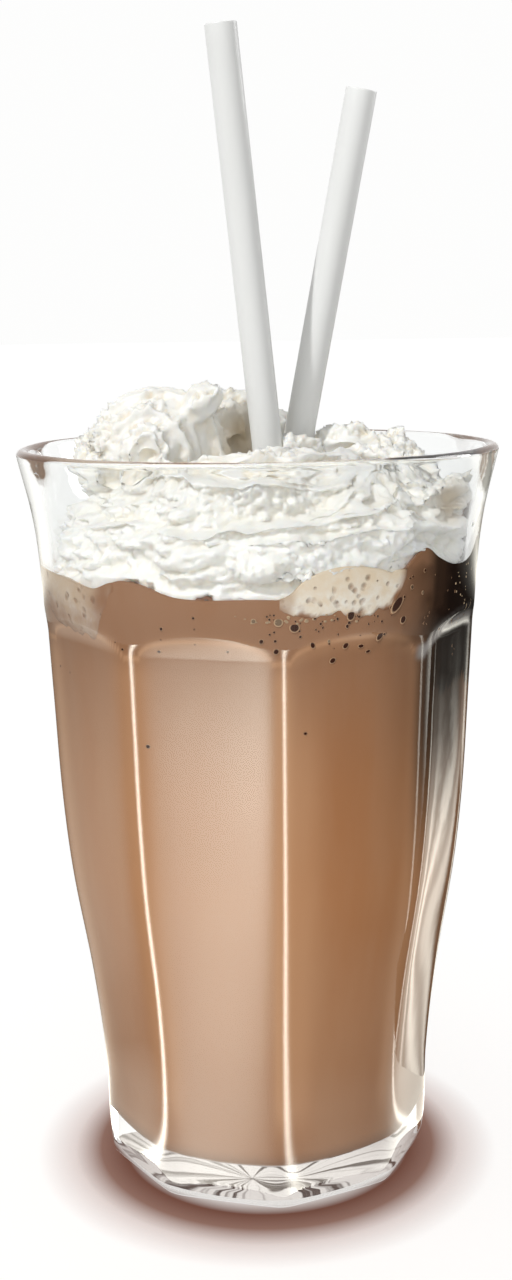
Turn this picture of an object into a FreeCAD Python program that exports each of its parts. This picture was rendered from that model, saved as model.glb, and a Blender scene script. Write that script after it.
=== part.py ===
# A milkshake in a tall nine-sided glass, topped with whipped cream, with two straws.
# Millimetres. Z is up, the table is Z 0, the glass stands on its own axis.
# Angles around the glass count from the front (-Y) toward the right (+X).
import math
import os

import FreeCAD, Part

# glass
height = 147.0
rim_radius = 47.5
foot_radius = 33.5
facet_count = 9
facet_phase = 5.3
shoulder_height = 0.7565 * height
scoop_radius = 6.4
ridge_overshoot = 0.25
rim_wall = 2.5
facet_wall = 2.8
step_start = shoulder_height - 3.2
step_end = shoulder_height + 10.8
lip_radius = 1.1
lip_bottom = height - lip_radius
base_thickness = 7.0
inner_corner = 4.0
heel_height = 4.2
heel_inset = 0.7
foot_rounding = 0.8
recess_radius = 27.0
recess_depth = 0.8

# contents
drink_level = 0.823 * height
froth_skin = 0.9
cream_side = height - 11.0
cream_side_right = height - 14.5
cream_crown = height - 3.0
swirl_height = 17.0
swirl_reach = 25.0
swirl_reach_right = 15.0
swirl_pitch = 7.5
swirl_relief = 0.9
tuft_height = 8.0
tuft_reach = 16.0
ruffle_pitch = 9.0
ruffle_relief = 0.6
cream_steps = 28
level_steps = 20

# straws
straw_diameter = 6.0
straw_wall = 0.4
straw_foot = 8.6

# outside of the glass at a ridge: share of the height up to the lip, share of the widening
# from the foot radius to the rim radius
outline = [
    (0.0, 0.0),
    (0.048, 0.036),
    (0.136, 0.057),
    (0.272, 0.207),
    (0.422, 0.450),
    (0.537, 0.564),
    (0.680, 0.636),
    (0.844, 0.721),
    (0.918, 0.807),
    (1.0, 1.0),
]

# height of the drink at the wall, as angle and rise over the drink level,
# and the thickness of the froth there
drink_edge = [
    (-160.0, 2.0),
    (-110.0, 1.0),
    (-73.0, -3.5),
    (-58.0, -7.0),
    (-46.0, -6.5),
    (-38.0, 1.5),
    (-20.0, -0.8),
    (0.0, -0.8),
    (20.0, -1.3),
    (38.0, -0.3),
    (52.0, 4.0),
    (75.0, 6.0),
    (120.0, 4.0),
]
froth_edge = [
    (-160.0, 0.0),
    (-110.0, 1.0),
    (-73.0, 5.5),
    (-58.0, 8.5),
    (-46.0, 7.0),
    (-38.0, 0.6),
    (-20.0, 0.0),
    (0.0, 0.0),
    (20.0, 6.5),
    (38.0, 5.5),
    (52.0, 0.4),
    (75.0, 0.0),
    (120.0, 0.0),
]

# straw axes: the point at the height of the lip, and the upper end
straw_lines = {
    "straw_left": ((2.0, -4.0, height), (-5.6, -12.0, height + 77.0)),
    "straw_right": ((8.2, 4.2, height), (20.7, -2.0, height + 66.5)),
}

half_facet = math.pi / facet_count


def smooth(value):
    share = min(1.0, max(0.0, value))
    return share * share * (3.0 - 2.0 * share)


def through(stations, value):
    # cubic through the stations, with the slope at each taken from its neighbours
    index = 0
    while index < len(stations) - 2 and value > stations[index + 1][0]:
        index += 1
    (x0, y0), (x1, y1) = stations[index], stations[index + 1]
    before = stations[max(index - 1, 0)]
    after = stations[min(index + 2, len(stations) - 1)]
    slope0 = (y1 - before[1]) / (x1 - before[0])
    slope1 = (after[1] - y0) / (after[0] - x0)
    span = x1 - x0
    t = (value - x0) / span
    rise = y1 - y0
    cubic = (slope0 + slope1) * span - 2.0 * rise
    square = 3.0 * rise - (2.0 * slope0 + slope1) * span
    return y0 + t * (slope0 * span + t * (square + t * cubic))


def around(stations, angle):
    # the same with the stations closed around the glass
    closed = [(a - 360.0, h) for a, h in stations] + stations
    closed += [(a + 360.0, h) for a, h in stations]
    return through(closed, angle)


def ridge_radius(z):
    return foot_radius + (rim_radius - foot_radius) * through(outline, z / lip_bottom)


def facet_distance(z):
    # from the axis to the middle of a facet; the heel tapers below its line
    reach = (ridge_radius(max(z, heel_height)) + ridge_overshoot) * math.cos(half_facet)
    taper = heel_inset * max(0.0, 1.0 - z / heel_height)
    return reach - taper


def inner_radius(z):
    share = smooth((z - step_start) / (step_end - step_start))
    low = facet_distance(z) - facet_wall
    high = ridge_radius(z) - rim_wall
    return low + (high - low) * share


def curve(points):
    spline = Part.BSplineCurve()
    spline.interpolate([FreeCAD.Vector(*p) for p in points])
    return spline.toShape()


def line(a, b):
    return Part.makeLine(FreeCAD.Vector(*a), FreeCAD.Vector(*b))


def arc(a, middle, b):
    return Part.Arc(FreeCAD.Vector(*a), FreeCAD.Vector(*middle), FreeCAD.Vector(*b)).toShape()


def corner(center, radius, angle):
    return (
        center[0] + radius * math.cos(math.radians(angle)),
        0.0,
        center[1] + radius * math.sin(math.radians(angle)),
    )


def turned(edges):
    face = Part.Face(Part.Wire(edges))
    return face.revolve(FreeCAD.Vector(0, 0, 0), FreeCAD.Vector(0, 0, 1), 360)


def spaced(low, high, count):
    return [low + (high - low) * i / count for i in range(count + 1)]


# the inside line, from the bottom of the hollow up to the lip
corner_top = base_thickness + inner_corner
inner_points = [(inner_radius(z), 0.0, z) for z in spaced(corner_top, lip_bottom, 16)]
inner_foot = inner_points[0]
corner_center = (inner_foot[0] - inner_corner, corner_top)
floor_edge = corner(corner_center, inner_corner, 270)
inner_bend = arc(floor_edge, corner(corner_center, inner_corner, 315), inner_foot)
inner_line = curve(inner_points)

# the outside line and the rounded lip
outer_points = [(ridge_radius(z), 0.0, z) for z in spaced(foot_rounding, lip_bottom, 18)]
outer_line = curve(outer_points)
lip_out = outer_points[-1]
lip_in = inner_points[-1]
lip = arc(lip_out, ((lip_out[0] + lip_in[0]) / 2, 0.0, height), lip_in)

# the underside: a shallow dome, the ring it stands on, a rounded edge
dome_top = (0.0, 0.0, recess_depth)
dome_side = (recess_radius * 0.6, 0.0, recess_depth * 0.64)
dome_edge = (recess_radius, 0.0, 0.0)
ring_edge = (foot_radius - foot_rounding, 0.0, 0.0)
foot_out = outer_points[0]
foot_mid = corner((ring_edge[0], foot_rounding), foot_rounding, 315)

turned_glass = turned(
    [
        arc(dome_top, dome_side, dome_edge),
        line(dome_edge, ring_edge),
        arc(ring_edge, foot_mid, foot_out),
        outer_line,
        lip,
        inner_line,
        inner_bend,
        line(floor_edge, (0.0, 0.0, base_thickness)),
        line((0.0, 0.0, base_thickness), dome_top),
    ]
)

# one facet cutter: the facet line, then the scoop that runs out under the shoulder
far = rim_radius * 1.6
facet_points = [(facet_distance(z), 0.0, z) for z in spaced(heel_height, shoulder_height, 14)]
facet_top = facet_points[-1]
lean = math.atan2(facet_top[0] - facet_points[-2][0], facet_top[2] - facet_points[-2][2])
scoop_center = (
    facet_top[0] + scoop_radius * math.cos(lean),
    facet_top[2] - scoop_radius * math.sin(lean),
)
scoop_start = 180.0 - math.degrees(lean)
scoop_mid = corner(scoop_center, scoop_radius, scoop_start - 42.0)
scoop_end = corner(scoop_center, scoop_radius, scoop_start - 84.0)
heel_low = (facet_distance(0.0) - heel_inset, 0.0, -heel_height)
facet_profile = Part.Wire(
    [
        line(heel_low, facet_points[0]),
        curve(facet_points),
        arc(facet_top, scoop_mid, scoop_end),
        line(scoop_end, (far, 0.0, scoop_end[2])),
        line((far, 0.0, scoop_end[2]), (far, 0.0, heel_low[2])),
        line((far, 0.0, heel_low[2]), heel_low),
    ]
)
cutter = Part.Face(facet_profile).extrude(FreeCAD.Vector(0, rim_radius, 0))
cutter.translate(FreeCAD.Vector(0, -rim_radius / 2, 0))

glass = turned_glass
for index in range(facet_count):
    middle = facet_phase + (index + 0.5) * 360.0 / facet_count - 90.0
    facet = cutter.copy()
    facet.rotate(FreeCAD.Vector(0, 0, 0), FreeCAD.Vector(0, 0, 1), middle)
    glass = glass.cut(facet)

# what the glass can hold, up to the lip
hollow = turned(
    [
        line((0.0, 0.0, base_thickness), floor_edge),
        inner_bend,
        inner_line,
        line(lip_in, (0.0, 0.0, lip_bottom)),
        line((0.0, 0.0, lip_bottom), (0.0, 0.0, base_thickness)),
    ]
)


def angle_at(x, y):
    return math.degrees(math.atan2(x, -y))


def reach_at(x, y):
    return math.hypot(x, y) / inner_radius(drink_level)


def drink_top(x, y):
    share = min(1.3, reach_at(x, y)) ** 2
    return drink_level + share * around(drink_edge, angle_at(x, y))


def froth_top(x, y):
    share = min(1.3, reach_at(x, y)) ** 2
    return drink_top(x, y) + froth_skin + share * around(froth_edge, angle_at(x, y))


def cream_top(x, y):
    # a low crown from the wall to the middle
    right = smooth((x + rim_radius * 0.3) / rim_radius)
    side = cream_side + (cream_side_right - cream_side) * right
    share = min(1.0, reach_at(x, y)) ** 2
    level = cream_crown + (side - cream_crown) * share
    # the piped swirl on the left, falling off faster toward the straws
    dx = x + rim_radius * 0.25
    dy = y + 1.0
    reach = swirl_reach if dx < 0 else swirl_reach_right
    away = math.hypot(dx / reach, dy / swirl_reach)
    mound = max(0.0, 1.0 - away ** 2.2)
    turn = 2.0 * math.pi * away * swirl_reach / swirl_pitch - math.atan2(dy, dx)
    level += swirl_height * mound + swirl_relief * smooth(mound * 3.0) * math.cos(turn)
    # the small tuft on the right
    away = math.hypot(x - rim_radius * 0.4, y - 2.0) / tuft_reach
    level += tuft_height * max(0.0, 1.0 - away ** 2.2)
    # slanting ruffles over the rest
    wave = math.sin(2.0 * math.pi * (0.5 * x + 0.86 * y + 2.0 * math.sin(x / 9.0)) / ruffle_pitch)
    return level + ruffle_relief * wave * (1.0 - smooth(mound * 3.0))


def below(top, count):
    # everything under the surface top(x, y), down past the hollow
    steps = spaced(-rim_radius, rim_radius, count)
    rows = [[FreeCAD.Vector(x, y, top(x, y)) for y in steps] for x in steps]
    surface = Part.BSplineSurface()
    surface.interpolate(rows)
    return surface.toShape().extrude(FreeCAD.Vector(0, 0, -2.0 * height))


def straw_parts(leaving, upper):
    # solid rod for the holes, and the tube itself, from the straw's foot to its upper end
    start = FreeCAD.Vector(*leaving)
    end = FreeCAD.Vector(*upper)
    way = end - start
    foot = start + way * ((straw_foot - start.z) / way.z)
    length = (end - foot).Length
    rod = Part.makeCylinder(straw_diameter / 2, length, foot, way)
    bore = Part.makeCylinder(straw_diameter / 2 - straw_wall, length, foot, way)
    return rod, rod.cut(bore)


rods = []
straws = {}
for name, (leaving, upper) in straw_lines.items():
    rod, tube = straw_parts(leaving, upper)
    rods.append(rod)
    straws[name] = tube

under_drink = below(drink_top, level_steps)
under_froth = below(froth_top, level_steps)
under_cream = below(cream_top, cream_steps)
drink = hollow.common(under_drink)
froth = hollow.common(under_froth).cut(under_drink)
cream_room = Part.makeCylinder(
    rim_radius * 1.2, height, FreeCAD.Vector(0, 0, lip_bottom), FreeCAD.Vector(0, 0, 1)
)
cream_room = hollow.fuse(cream_room)
cream = cream_room.common(under_cream).cut(under_froth)

for rod in rods:
    drink = drink.cut(rod)
    froth = froth.cut(rod)
    cream = cream.cut(rod)

parts = {"glass": glass, "milkshake": drink, "froth": froth, "whipped_cream": cream}
parts.update(straws)
os.makedirs("parts", exist_ok=True)
for name, shape in parts.items():
    shape.exportStep("parts/" + name + ".step")
    print(name, shape.isValid(), len(shape.Solids), round(shape.Volume / 1000.0, 1), "cm3")
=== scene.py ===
import math

import bpy
import numpy as np
from mathutils import Matrix, Vector


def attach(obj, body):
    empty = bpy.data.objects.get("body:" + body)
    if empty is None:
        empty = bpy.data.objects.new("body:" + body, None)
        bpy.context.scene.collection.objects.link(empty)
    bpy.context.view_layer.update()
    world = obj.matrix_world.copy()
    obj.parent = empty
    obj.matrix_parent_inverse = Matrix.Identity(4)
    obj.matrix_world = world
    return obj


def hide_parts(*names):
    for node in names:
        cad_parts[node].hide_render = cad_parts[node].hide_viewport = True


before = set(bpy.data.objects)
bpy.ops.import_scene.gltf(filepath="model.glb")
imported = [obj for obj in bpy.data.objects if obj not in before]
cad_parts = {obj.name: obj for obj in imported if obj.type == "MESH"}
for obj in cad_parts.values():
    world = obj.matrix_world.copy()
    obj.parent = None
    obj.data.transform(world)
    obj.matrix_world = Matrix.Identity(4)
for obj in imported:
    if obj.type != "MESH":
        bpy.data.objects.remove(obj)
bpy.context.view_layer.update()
print("frame loaded:", ", ".join(sorted(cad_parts)))

# Everything below is worked out in millimetres and put into the meshes in metres.
# Angles run around the glass in degrees, 0 at the front (-Y), positive to the right (+X).
mm = 0.001


def through(stations, value):
    # cubic through the stations: y0 + t (s0 w + t (3 d - (2 s0 + s1) w + t ((s0 + s1) w - 2 d))),
    # t the share of the span, w its width, d its rise, s0 and s1 the slopes over the neighbours
    px, py = np.array(stations, float).T
    i = np.clip(np.searchsorted(px, value) - 1, 0, len(px) - 2)
    low, high = np.maximum(i - 1, 0), np.minimum(i + 2, len(px) - 1)
    s0 = (py[i + 1] - py[low]) / (px[i + 1] - px[low])
    s1 = (py[high] - py[i]) / (px[high] - px[i])
    w, d = px[i + 1] - px[i], py[i + 1] - py[i]
    t = (value - px[i]) / w
    return py[i] + t * (s0 * w + t * (3 * d - (2 * s0 + s1) * w + t * ((s0 + s1) * w - 2 * d)))


def around(stations, angle):
    # the same, with the stations closed around the glass
    closed = [(a - 360, v) for a, v in stations] + list(stations) + [(a + 360, v) for a, v in stations]
    return through(closed, (angle + 180) % 360 - 180)


def smooth(low, high, value):
    # 3 t^2 - 2 t^3, t the share of the way from low to high, held between 0 and 1
    t = np.clip((value - low) / (high - low), 0, 1)
    return t * t * (3 - 2 * t)


def latticeNoise(points, seed):
    # a random value at each whole point, blended between the eight around a place by 3 t^2 - 2 t^3
    cell = np.floor(points).astype(np.int64)
    t = points - cell
    t = t * t * (3 - 2 * t)
    total = np.zeros(len(points))
    for corner in range(8):
        step = np.array([corner & 1, corner >> 1 & 1, corner >> 2 & 1])
        c = cell + step
        h = (c[:, 0] * 374761393 + c[:, 1] * 668265263 + c[:, 2] * 2147483647 + seed * 974711) & 0xFFFFFFFF
        h = (h ^ (h >> 13)) * 1274126177 & 0xFFFFFFFF
        h = (h ^ (h >> 16)) & 0xFFFF
        total += np.prod(np.where(step, t, 1 - t), axis=1) * (h / 32767.5 - 1)
    return total


def layeredNoise(points, size, layers, seed):
    # layers of lattice noise, each half as large and half as strong as the one before
    return sum(latticeNoise(points / size * 2**k, seed + k) * 0.5**k for k in range(layers))


def gridQuads(rows, columns, wrapped):
    # quads between neighbouring rows; where wrapped, the last column joins the first
    i = np.arange(rows - 1)[:, None] * columns
    j = np.arange(columns if wrapped else columns - 1)[None, :]
    k = (j + 1) % columns
    return np.stack([i + j, i + k, i + k + columns, i + j + columns], -1).reshape(-1, 4)


def closedGrid(points):
    # a grid of rings from one pole to the other, points[row, column], closed by one point at each end
    rows, columns = points.shape[:2]
    vertices = np.vstack([points.reshape(-1, 3), points[0].mean(0), points[-1].mean(0)])
    ring = np.arange(columns)
    after = (ring + 1) % columns
    last = (rows - 1) * columns
    low = np.stack([after, ring, np.full(columns, rows * columns)], -1)
    high = np.stack([last + ring, last + after, np.full(columns, rows * columns + 1)], -1)
    return vertices, gridQuads(rows, columns, True), np.vstack([low, high])


noTriangles = np.zeros((0, 3), int)


def closedLoop(points):
    # a grid of rings, points[row, column], whose last ring joins the first
    rows, columns = points.shape[:2]
    ring = np.arange(columns)
    after = (ring + 1) % columns
    last = (rows - 1) * columns
    seam = np.stack([last + ring, last + after, after, ring], -1)
    return points.reshape(-1, 3), np.vstack([gridQuads(rows, columns, True), seam]), noTriangles


def meshFrom(name, vertices, quads, triangles):
    # points in mm and faces as whole arrays; smooth shaded
    mesh = bpy.data.meshes.new(name)
    mesh.vertices.add(len(vertices))
    mesh.vertices.foreach_set("co", (vertices * mm).astype(np.float32).ravel())
    corners = np.concatenate([quads.ravel(), triangles.ravel()]).astype(np.int32)
    starts = np.concatenate(
        [np.arange(len(quads)) * 4, len(quads) * 4 + np.arange(len(triangles)) * 3]
    ).astype(np.int32)
    mesh.loops.add(len(corners))
    mesh.loops.foreach_set("vertex_index", corners)
    mesh.polygons.add(len(starts))
    mesh.polygons.foreach_set("loop_start", starts)
    mesh.polygons.foreach_set("use_smooth", np.ones(len(starts), bool))
    mesh.update(calc_edges=True)
    mesh.validate()
    return mesh


def sceneObject(name, data):
    item = bpy.data.objects.new(name, data)
    bpy.context.scene.collection.objects.link(item)
    return item


def pieceFrom(name, mesh, material, node=None):
    piece = sceneObject(name, mesh)
    mesh.materials.append(material)
    if node:
        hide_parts(node)
    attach(piece, "root")
    print(name, len(mesh.vertices), "points", len(mesh.polygons), "faces")
    return piece


def joined(parts):
    # several (vertices, quads, triangles) as one
    vertices, quads, triangles, first = [], [], [], 0
    for v, q, t in parts:
        vertices.append(v)
        quads.append(q + first)
        triangles.append(t + first)
        first += len(v)
    return np.vstack(vertices), np.vstack(quads), np.vstack(triangles)


def polar(angle, distance, z):
    # x = d sin a, y = -d cos a
    a = np.radians(angle)
    return np.stack(np.broadcast_arrays(distance * np.sin(a), -distance * np.cos(a), z), -1)


def angleOf(points):
    # a = atan2(x, -y)
    return np.degrees(np.arctan2(points[:, 0], -points[:, 1]))


def readVectors(mesh, what):
    # "co" or "normal" of every point
    values = np.empty(len(mesh.vertices) * 3, np.float32)
    mesh.vertices.foreach_get(what, values)
    return values.reshape(-1, 3).astype(float)


def readPoints(mesh):
    return readVectors(mesh, "co") / mm


def setValues(mesh, name, values):
    attribute = mesh.attributes.new(name, "FLOAT", "POINT")
    attribute.data.foreach_set("value", values.astype(np.float32))


def feed(tree, node, values):
    # joins or sets sockets, each by its name with _ for a space, or as _2 for the third one
    for key, value in values.items():
        socket = node.inputs[int(key[1:]) if key[0] == "_" else key.replace("_", " ")]
        if isinstance(value, bpy.types.NodeSocket):
            tree.links.new(value, socket)
        else:
            socket.default_value = value


class Nodes:
    # short ways to add and join the nodes of one tree; most give the new node's output
    def __init__(self, tree):
        self.tree = tree

    def add(self, kind, settings=None, **values):
        node = self.tree.nodes.new("ShaderNode" + kind)
        for key, value in (settings or {}).items():
            setattr(node, key, value)
        feed(self.tree, node, values)
        return node

    def group(self, group, **values):
        return self.add("Group", {"node_tree": group}, **values)

    def join(self, start, end):
        self.tree.links.new(start, end)

    def shader(self, **values):
        feed(self.tree, self.tree.nodes["Principled BSDF"], values)

    def place(self):
        return self.add("TexCoord").outputs["Object"]

    def painted(self, name):
        return self.add("Attribute", {"attribute_name": name}).outputs["Fac"]

    def calc(self, operation, one, other=0.0):
        return self.add("Math", {"operation": operation}, _0=one, _1=other).outputs[0]

    def spread(self, value, **ends):
        # carried from From_Min, From_Max to To_Min, To_Max and held at the ends
        return self.add("MapRange", Value=value, **ends).outputs[0]

    def mix(self, share, one, other, blend="MIX"):
        settings = {"data_type": "RGBA", "blend_type": blend}
        return self.add("Mix", settings, _0=share, _6=one, _7=other).outputs[2]

    def between(self, share, one, other):
        return self.add("Mix", {"data_type": "FLOAT"}, _0=share, _2=one, _3=other).outputs[0]

    def ramp(self, value, stops):
        # the colour at the value, between stops of a position and a colour
        node = self.add("ValToRGB", _0=value)
        elements = node.color_ramp.elements
        elements[0].position, elements[1].position = stops[0][0], stops[-1][0]
        for position, _ in stops[1:-1]:
            elements.new(position)
        for element, (_, colour) in zip(elements, stops):
            element.color = colour
        return node.outputs["Color"]

    def bump(self, height, strength, distance):
        return self.add("Bump", Strength=strength, Distance=distance, Height=height).outputs["Normal"]


def newMaterial(name):
    material = bpy.data.materials.new(name)
    material.use_nodes = True
    return material, Nodes(material.node_tree)


def newGroup(name, inputs, outputs):
    group = bpy.data.node_groups.new(name, "ShaderNodeTree")
    for label, kind, value in inputs:
        socket = group.interface.new_socket(label, in_out="INPUT", socket_type="NodeSocket" + kind)
        socket.default_value = value
    for label, kind in outputs:
        group.interface.new_socket(label, in_out="OUTPUT", socket_type="NodeSocket" + kind)
    ends = (group.nodes.new("NodeGroupInput"), group.nodes.new("NodeGroupOutput"))
    return group, Nodes(group), ends


# soft blotches between two colours
mottleGroup, m, (mIn, mOut) = newGroup(
    "softMottle",
    [
        ("Vector", "Vector", (0, 0, 0)),
        ("Colour", "Color", (0.5, 0.5, 0.5, 1)),
        ("Other", "Color", (0.4, 0.4, 0.4, 1)),
        ("Scale", "Float", 100.0),
        ("Amount", "Float", 0.5),
    ],
    [("Colour", "Color"), ("Mask", "Float")],
)
blotches = m.add("TexNoise", Vector=mIn.outputs["Vector"], Scale=mIn.outputs["Scale"], Detail=4.0)
share = m.spread(blotches.outputs["Fac"], From_Min=0.32, From_Max=0.68)
share = m.calc("MULTIPLY", share, mIn.outputs["Amount"])
m.join(m.mix(share, mIn.outputs["Colour"], mIn.outputs["Other"]), mOut.inputs["Colour"])
m.join(share, mOut.inputs["Mask"])

# small round pits of open bubbles, larger in some places than in others
bubbleGroup, b, (bIn, bOut) = newGroup(
    "openBubbles",
    [("Vector", "Vector", (0, 0, 0)), ("Scale", "Float", 900.0), ("Size", "Float", 0.3)],
    [("Pit", "Float"), ("Height", "Float")],
)
cells = b.add("TexVoronoi", Vector=bIn.outputs["Vector"], Scale=bIn.outputs["Scale"])
patches = b.add("TexNoise", Vector=bIn.outputs["Vector"], Scale=330.0, Detail=1.0)
uneven = b.spread(patches.outputs["Fac"], From_Min=0.38, From_Max=0.72, To_Min=0.05, To_Max=1.6)
size = b.calc("MULTIPLY", bIn.outputs["Size"], uneven)
pit = b.spread(cells.outputs["Distance"], From_Min=size, From_Max=0.0)
b.join(pit, bOut.inputs["Pit"])
b.join(b.calc("SUBTRACT", 1.0, pit), bOut.inputs["Height"])


# the glass

glassHeight = 147.0
# a turned body with flat facets cut from it, each ending in an arch under the shoulder
glassShape = {
    "rimRadius": 47.5,
    "footRadius": 33.5,
    "facets": 9,
    "phase": 5.3,
    "shoulder": 0.7565 * glassHeight,
    "scoop": 6.4,
    "overshoot": 0.65,  # ridges stand this far out before they are softened
    "innerOvershoot": 0.25,
    "stepBelow": 3.2,  # the wall's step from facet to round, about the shoulder
    "stepAbove": 10.8,
    "rimWall": 2.5,
    "facetWall": 2.8,
    "lip": 1.1,
    "base": 7.0,
    "innerCorner": 4.0,
    "heel": 4.2,
    "heelInset": 0.7,
    "footRounding": 0.8,
    "recessRadius": 27.0,
    "recessDepth": 0.8,
    "softness": 0.4,  # how round the ridges and arches are
    "outline": [
        (0.0, 0.0), (0.048, 0.036), (0.136, 0.057), (0.272, 0.207), (0.422, 0.450),
        (0.537, 0.564), (0.680, 0.636), (0.844, 0.721), (0.918, 0.807), (1.0, 1.0),
    ],
}
lipBottom = glassHeight - glassShape["lip"]
halfFacet = 180 / glassShape["facets"]


def ridgeRadius(z):
    # foot radius + widening * share of the outline at this height
    g = glassShape
    return g["footRadius"] + (g["rimRadius"] - g["footRadius"]) * through(g["outline"], z / lipBottom)


def facetDistance(z):
    # (ridge + overshoot) cos(half a facet), less the taper under the heel line
    g = glassShape
    reach = (ridgeRadius(np.maximum(z, g["heel"])) + g["overshoot"]) * math.cos(math.radians(halfFacet))
    return reach - g["heelInset"] * np.maximum(0, 1 - z / g["heel"])


def innerRadius(z):
    # a facet wall inside the facets, a rim wall inside the round top, eased between the two
    g = glassShape
    inside = (ridgeRadius(z) + g["innerOvershoot"]) * math.cos(math.radians(halfFacet)) - g["facetWall"]
    share = smooth(g["shoulder"] - g["stepBelow"], g["shoulder"] + g["stepAbove"], z)
    return inside + (ridgeRadius(z) - g["rimWall"] - inside) * share


def outerRadius(angle, z):
    # softened smallest of the round body R(z) and the two nearest facets d(z) / cos(a);
    # over the shoulder d = D + s - sqrt(s^2 - (z - z0)^2), the scoop's circle
    g = glassShape
    fromMiddle = (angle - g["phase"]) % (2 * halfFacet) - halfFacet
    h = np.clip(z - g["shoulder"], 0, g["scoop"] * 0.995)
    d = facetDistance(np.minimum(z, g["shoulder"])) + g["scoop"] - np.sqrt(g["scoop"] ** 2 - h**2)
    near = d / np.cos(np.radians(fromMiddle))
    far = d / np.cos(np.radians(2 * halfFacet - np.abs(fromMiddle)))
    # -k log(sum exp(-r / k)), with 40 taken off so that the powers stay small
    k = g["softness"]
    powers = [np.exp((40 - r) / k) for r in (near, far, ridgeRadius(z))]
    return 40 - k * np.log(sum(powers))


def glassRings():
    # rings from the middle of the underside, out, up the outside, over the lip, down the inside
    g = glassShape
    # columns crowd toward the ridges: a = half (1 - (1 - u)^1.8) on each side of a facet's middle
    u = np.linspace(-1, 1, 35)[:-1]
    inFacet = halfFacet * np.sign(u) * (1 - (1 - np.abs(u)) ** 1.8)
    a = (np.arange(g["facets"])[:, None] * 2 * halfFacet + halfFacet + inFacet + g["phase"]).ravel()
    footZ = g["footRounding"]
    outerZ = np.concatenate(
        [
            np.linspace(footZ, 6, 12),
            np.linspace(6, 106, 48)[1:],
            np.linspace(106, 119, 46)[1:],
            np.linspace(119, 143, 14)[1:],
            np.linspace(143, lipBottom, 6)[1:],
        ]
    )
    foot = outerRadius(a, footZ)
    rings = []
    for share in np.linspace(0.06, 1, 8):
        z = g["recessDepth"] * (1 - share**2)
        rings.append(polar(a, g["recessRadius"] * share, z))
    for share in (0.33, 0.66):
        rings.append(polar(a, g["recessRadius"] + (foot - footZ - g["recessRadius"]) * share, 0))
    for turn in np.radians(np.linspace(270, 345, 6)):
        rings.append(polar(a, foot - footZ + footZ * np.cos(turn), footZ + footZ * np.sin(turn)))
    for z in outerZ:
        rings.append(polar(a, outerRadius(a, z), z))
    half = (outerRadius(a, lipBottom) - innerRadius(lipBottom)) / 2
    for turn in np.radians(np.linspace(15, 165, 11)):
        reach = innerRadius(lipBottom) + half * (1 + np.cos(turn))
        rings.append(polar(a, reach, lipBottom + g["lip"] * np.sin(turn)))
    cornerTop = g["base"] + g["innerCorner"]
    innerZ = [
        np.linspace(lipBottom, 126, 12),
        np.linspace(126, 104, 34)[1:],
        np.linspace(104, cornerTop, 44)[1:],
    ]
    for z in np.concatenate(innerZ):
        rings.append(polar(a, innerRadius(z), z))
    corner = innerRadius(cornerTop) - g["innerCorner"]
    for turn in np.radians(np.linspace(-12, -90, 7)):
        z = cornerTop + g["innerCorner"] * np.sin(turn)
        rings.append(polar(a, corner + g["innerCorner"] * np.cos(turn), z))
    for share in (0.66, 0.33, 0.06):
        rings.append(polar(a, corner * share, g["base"]))
    return np.array(rings)


glassLook = {
    "tint": (0.965, 0.975, 0.97, 1),
    "through": (0.95, 0.95, 0.95, 1),
    "ior": 1.5,
    "ripple": 0.0015,
    "rippleScale": 160.0,
}
glassMaterial, n = newMaterial("clearGlass")
# pressed glass is never quite flat: slow ripples
ripple = n.add("TexNoise", Vector=n.place(), Scale=glassLook["rippleScale"], Detail=1.5)
n.shader(
    Base_Color=glassLook["tint"],
    Roughness=0.0,
    IOR=glassLook["ior"],
    Transmission_Weight=1.0,
    Normal=n.bump(ripple.outputs["Fac"], glassLook["ripple"], 0.02),
)
# light from the lamps and soft light reach what is behind the glass
glassSurface = n.tree.nodes["Principled BSDF"].outputs[0]
path = n.add("LightPath")
clear = n.add("BsdfTransparent", Color=glassLook["through"]).outputs[0]
lit = n.add("MixShader", _0=path.outputs["Is Shadow Ray"], _1=glassSurface, _2=clear)
mixed = n.add("MixShader", _0=path.outputs["Is Diffuse Ray"], _1=lit.outputs[0], _2=clear)
n.join(mixed.outputs[0], n.tree.nodes["Material Output"].inputs["Surface"])

glassPiece = pieceFrom(
    "tallGlass", meshFrom("tallGlass", *closedGrid(glassRings())), glassMaterial, "glass"
)
print("glass done")


# the drink

drinkShape = {
    "level": 0.823 * glassHeight,
    "intoWall": 0.16,
    # round the wall, by angle: the drink's edge over its level, and the froth's depth on it
    "edge": [
        (-160, 2.0), (-110, 1.0), (-73, -3.5), (-58, -7.0), (-46, -6.5), (-38, 1.5),
        (-20, -0.8), (0, -0.8), (20, -1.5), (34, -1.2), (40, 4.0), (45, 6.5), (51, 4.2),
        (58, 2.4), (66, 2.2), (72, 4.0), (78, 9.0), (84, 12.5), (92, 10.0), (120, 4.0),
    ],
    "froth": [
        (-160, 0.0), (-110, 1.0), (-73, 5.5), (-58, 8.5), (-46, 7.0), (-38, 0.6), (-20, 0.0),
        (0, 0.0), (7, 1.5), (12, 5.0), (20, 6.9), (30, 6.4), (36, 3.6), (40, 0.3), (75, 0.0),
        (120, 0.0),
    ],
    "frothSkin": 0.9,
}


def drinkEdge(angle):
    # level + the edge's rise at this angle
    return drinkShape["level"] + around(drinkShape["edge"], angle)


def frothDepth(angle):
    # skin + the froth's depth at this angle
    return drinkShape["frothSkin"] + around(drinkShape["froth"], angle)


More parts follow.
